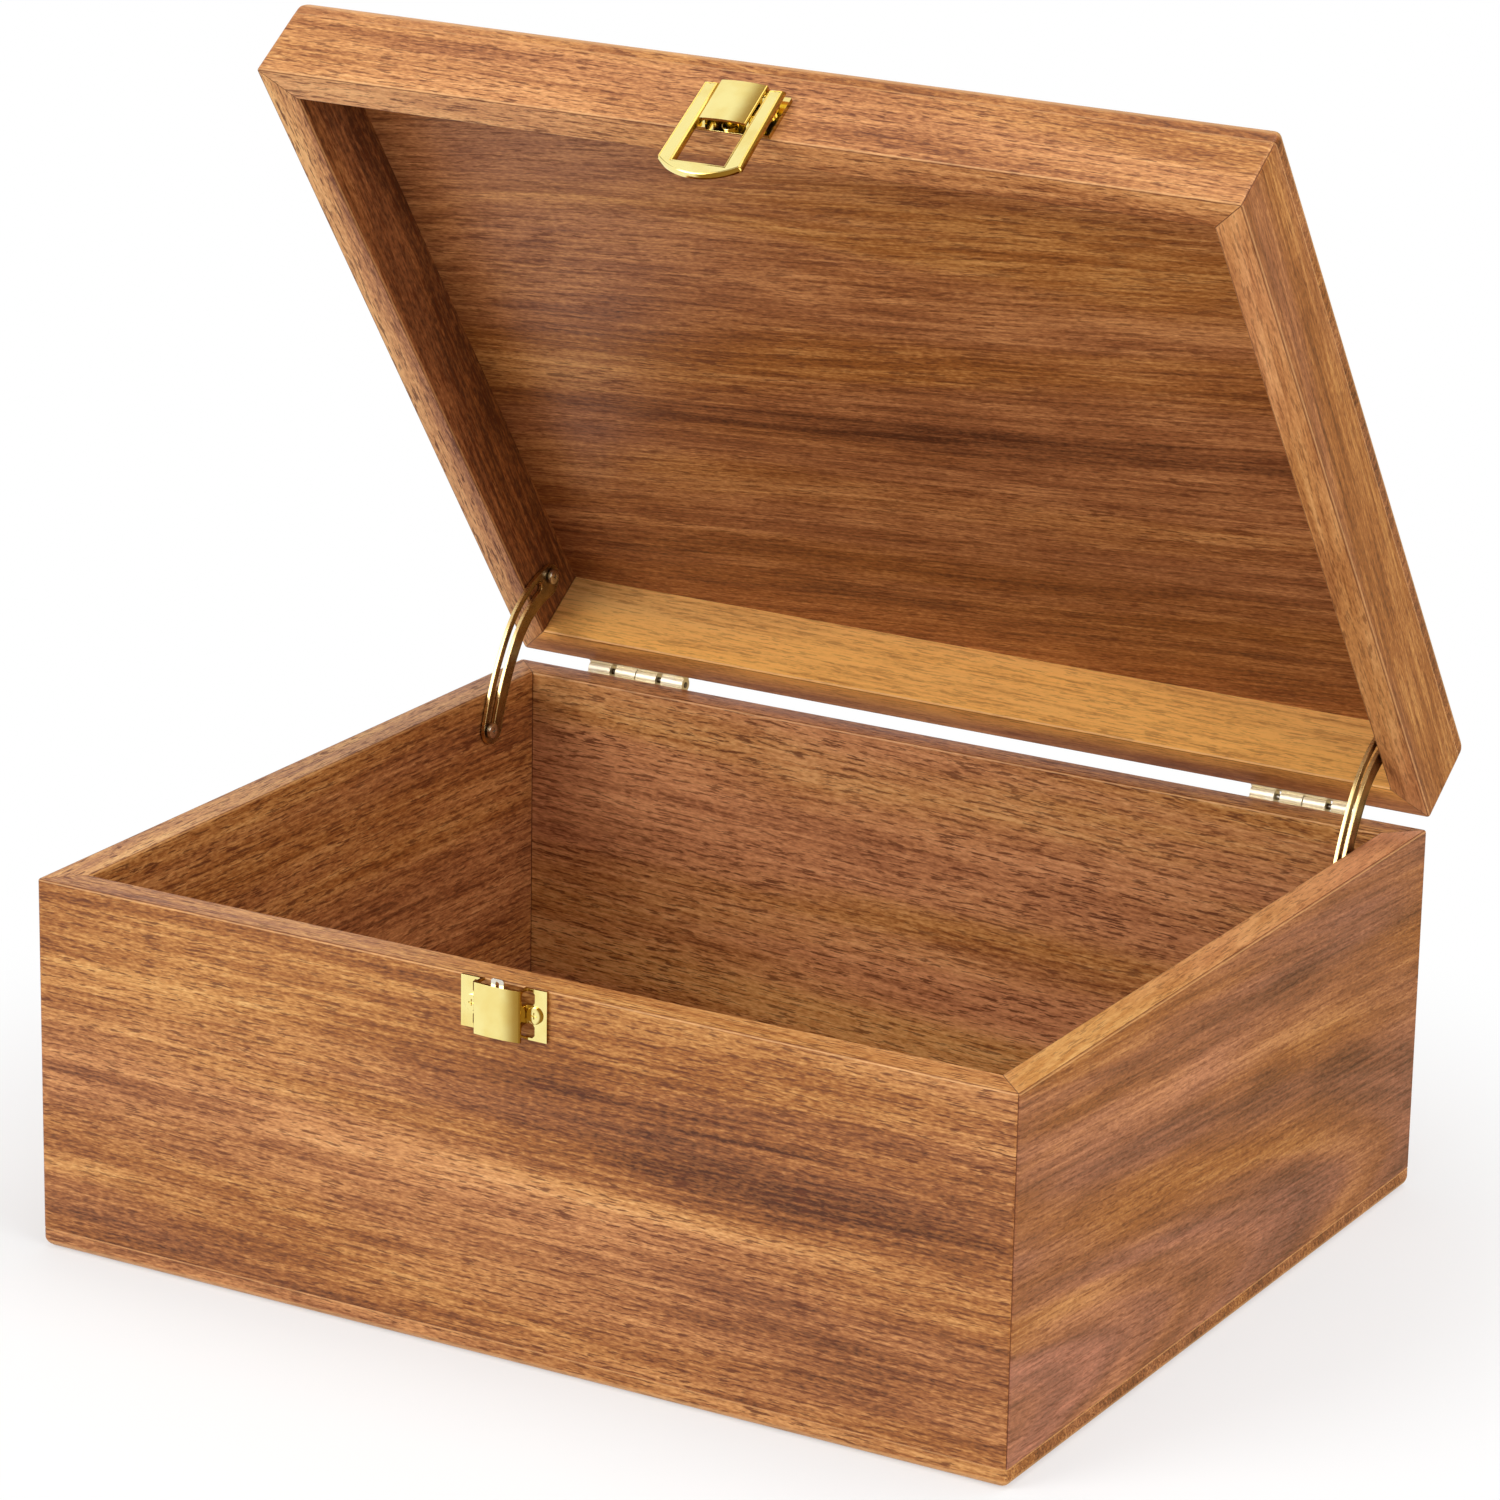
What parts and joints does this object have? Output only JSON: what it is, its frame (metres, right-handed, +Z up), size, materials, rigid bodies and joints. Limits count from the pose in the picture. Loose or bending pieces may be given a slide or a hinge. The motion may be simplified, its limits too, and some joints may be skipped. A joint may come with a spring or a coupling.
{
  "type": "keepsake box",
  "caption": "Hinged acacia keepsake box with mitred walls, slotted lid stays and a gold swing-over loop latch, drawn with its lid open.",
  "frame": {"origin": "centre of the flat face that the box stands on", "axes": "+X along the front from the viewer's left to right, +Y from the front with the catch towards the hinges, +Z up"},
  "size_m": [0.32, 0.2923, 0.3478],
  "materials": {
    "acacia_walls": "satin clear lacquer over figured acacia, with dark bands and short pores",
    "acacia_rails": "satin clear lacquer, lighter golden acacia",
    "acacia_boards": "satin clear lacquer, darker streaked acacia",
    "polished_gold": "bright polished gold plating on stamped steel",
    "gold_screws": "bright gold plating",
    "spring_steel": "pale bare spring steel",
    "hinge_metal": "pale champagne plating, slightly dull",
    "antique_brass": "dark antique brass with bright worn edges",
    "stay_fasteners": "dark plated steel"
  },
  "bodies": {
    "base": {"base_bottom_board": "acacia_boards", "base_front_wall": "acacia_walls", "base_left_wall": "acacia_walls", "base_rear_wall": "acacia_walls", "base_right_wall": "acacia_walls", "catch_plate": "polished_gold", "catch_screws": "gold_screws", "catch_spring": "spring_steel", "hinge_base_leaf_left": "hinge_metal", "hinge_base_leaf_right": "hinge_metal", "hinge_base_screws": "hinge_metal", "hinge_pin_left": "hinge_metal", "hinge_pin_right": "hinge_metal", "stay_pin_left": "stay_fasteners", "stay_pin_right": "stay_fasteners"},
    "lid": {"hinge_lid_leaf_left": "hinge_metal", "hinge_lid_leaf_right": "hinge_metal", "hinge_lid_screws": "hinge_metal", "latch_backing": "polished_gold", "latch_nail": "polished_gold", "latch_plate": "polished_gold", "latch_screws": "gold_screws", "lid_front_rail": "acacia_rails", "lid_left_rail": "acacia_rails", "lid_rear_rail": "acacia_rails", "lid_right_rail": "acacia_rails", "lid_top_board": "acacia_boards", "stay_screw_left": "stay_fasteners", "stay_screw_right": "stay_fasteners"},
    "latch_loop": {"latch_loop": "polished_gold"},
    "stay_left": {"stay_arm_left": "antique_brass"},
    "stay_right": {"stay_arm_right": "antique_brass"}
  },
  "joints": [
    {"name": "lid_hinge", "type": "hinge", "parent": "base", "child": "lid", "pos_m": [0, 0.13485, 0.1142], "axis": [-1, 0, 0], "range_deg": [-55, 0]},
    {"name": "latch_swing", "type": "hinge", "parent": "lid", "child": "latch_loop", "pos_m": [0, -0.00856, 0.34254], "axis": [-1, 0, 0], "range_deg": [0, 180]},
    {"name": "stay_left_pivot", "type": "hinge", "parent": "lid", "child": "stay_left", "pos_m": [-0.1479, 0.12836, 0.14457], "axis": [-1, 0, 0], "range_deg": [0, 27.5]},
    {"name": "stay_right_pivot", "type": "hinge", "parent": "lid", "child": "stay_right", "pos_m": [0.1479, 0.12836, 0.14457], "axis": [-1, 0, 0], "range_deg": [0, 27.5]}
  ],
  "couplings": [
    {"joint": "stay_left_pivot", "follows": "lid_hinge", "ratio": -0.5},
    {"joint": "stay_right_pivot", "follows": "lid_hinge", "ratio": -0.5}
  ]
}
